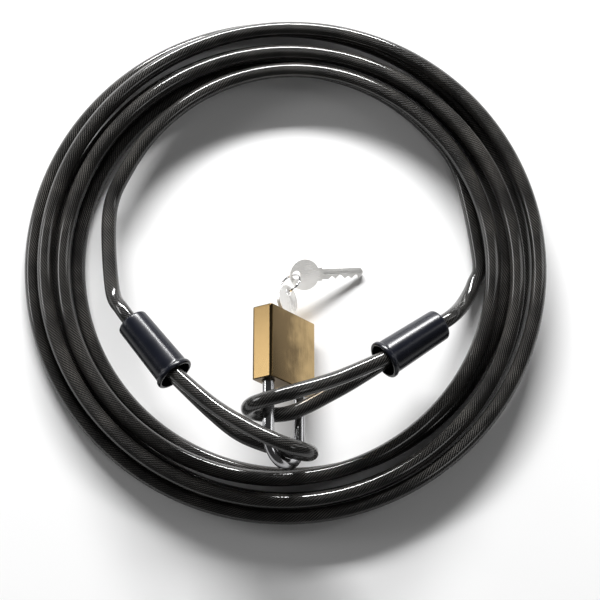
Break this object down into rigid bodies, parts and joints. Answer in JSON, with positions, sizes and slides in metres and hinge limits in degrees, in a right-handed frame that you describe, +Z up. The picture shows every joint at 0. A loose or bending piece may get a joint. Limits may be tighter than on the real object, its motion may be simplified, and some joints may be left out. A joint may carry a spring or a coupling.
{
  "type": "cable lock",
  "caption": "Long vinyl-coated wire cable, coiled, with a crimped eye at each end, closed through both eyes by a small brass keyed padlock with its keys on a ring",
  "frame": {"origin": "on the floor under the middle of the padlock with its keys; the coil lies round it, off centre", "axes": "+Z up from the floor; +Y from the shackle's bow towards the keys, along the padlock with its keys; +X to the right, seen from the shackle's end"},
  "size_m": [0.2799, 0.2782, 0.0608],
  "materials": {
    "vinyl": "smoked, slightly see-through vinyl over stranded steel wire, glossy",
    "sleeve": "bluish-black moulded plastic, satin",
    "ferrule": "pressed aluminium, hidden in the sleeve",
    "brass": "machined brass, finely brushed",
    "shackle_steel": "hardened steel, bright chrome plate",
    "pin_steel": "plain drawn steel rod",
    "spring_steel": "bright spring wire",
    "nickel": "nickel-plated brass, lightly worn",
    "ring_steel": "plated steel wire"
  },
  "bodies": {
    "lock": {"cable_coil": "vinyl", "left_eye": "vinyl", "right_eye": "vinyl", "left_sleeve": "sleeve", "right_sleeve": "sleeve", "left_ferrule": "ferrule", "right_ferrule": "ferrule", "padlock_body": "brass", "shackle_pin": "pin_steel", "plug_pin": "pin_steel", "shackle_spring": "spring_steel", "latch_spring": "spring_steel", "driver_pin_1": "nickel", "driver_pin_2": "nickel", "driver_pin_3": "nickel", "driver_pin_4": "nickel", "pin_spring_1": "spring_steel", "pin_spring_2": "spring_steel", "pin_spring_3": "spring_steel", "pin_spring_4": "spring_steel"},
    "plug": {"lock_plug": "brass", "key_pin_1": "nickel", "key_pin_2": "nickel", "key_pin_3": "nickel", "key_pin_4": "nickel"},
    "latch": {"latch_bolt": "brass"},
    "shackle": {"shackle": "shackle_steel"},
    "key": {"key_1": "nickel"},
    "ring": {"key_ring": "ring_steel"},
    "spare_key": {"key_2": "nickel"}
  },
  "joints": [
    {"name": "key_turn", "type": "hinge", "parent": "lock", "child": "plug", "pos_m": [-0.01211, 0.02506, 0.01761], "axis": [0, -0.9903, 0.1392], "range_deg": [0, 90]},
    {"name": "latch_slide", "type": "slide", "parent": "lock", "child": "latch", "axis": [0.5736, -0.114, -0.8112], "range_m": [0, 0.0042], "deforming": ["latch_spring"]},
    {"name": "shackle_lift", "type": "slide", "parent": "lock", "child": "shackle", "axis": [0, -0.9903, 0.1392], "range_m": [0, 0.0095], "deforming": ["shackle_spring"]},
    {"name": "key_slide", "type": "slide", "parent": "plug", "child": "key", "axis": [0, 0.9903, -0.1392], "range_m": [0, 0.026]},
    {"name": "ring_swing", "type": "hinge", "parent": "key", "child": "ring", "pos_m": [-0.01177, 0.03925, 0.01512], "axis": [0.8192, 0.0798, 0.568], "range_deg": [0, 50]},
    {"name": "key_2_swing", "type": "hinge", "parent": "ring", "child": "spare_key", "pos_m": [-0.00697, 0.04959, 0.01083], "axis": [0.2727, -0.3476, 0.8971], "range_deg": [0, 60]}
  ],
  "couplings": [
    {"joint": "latch_slide", "follows": "key_turn", "m_per_rad": 0.0026738},
    {"joint": "shackle_lift", "follows": "key_turn", "m_per_rad": 0.0060478}
  ]
}
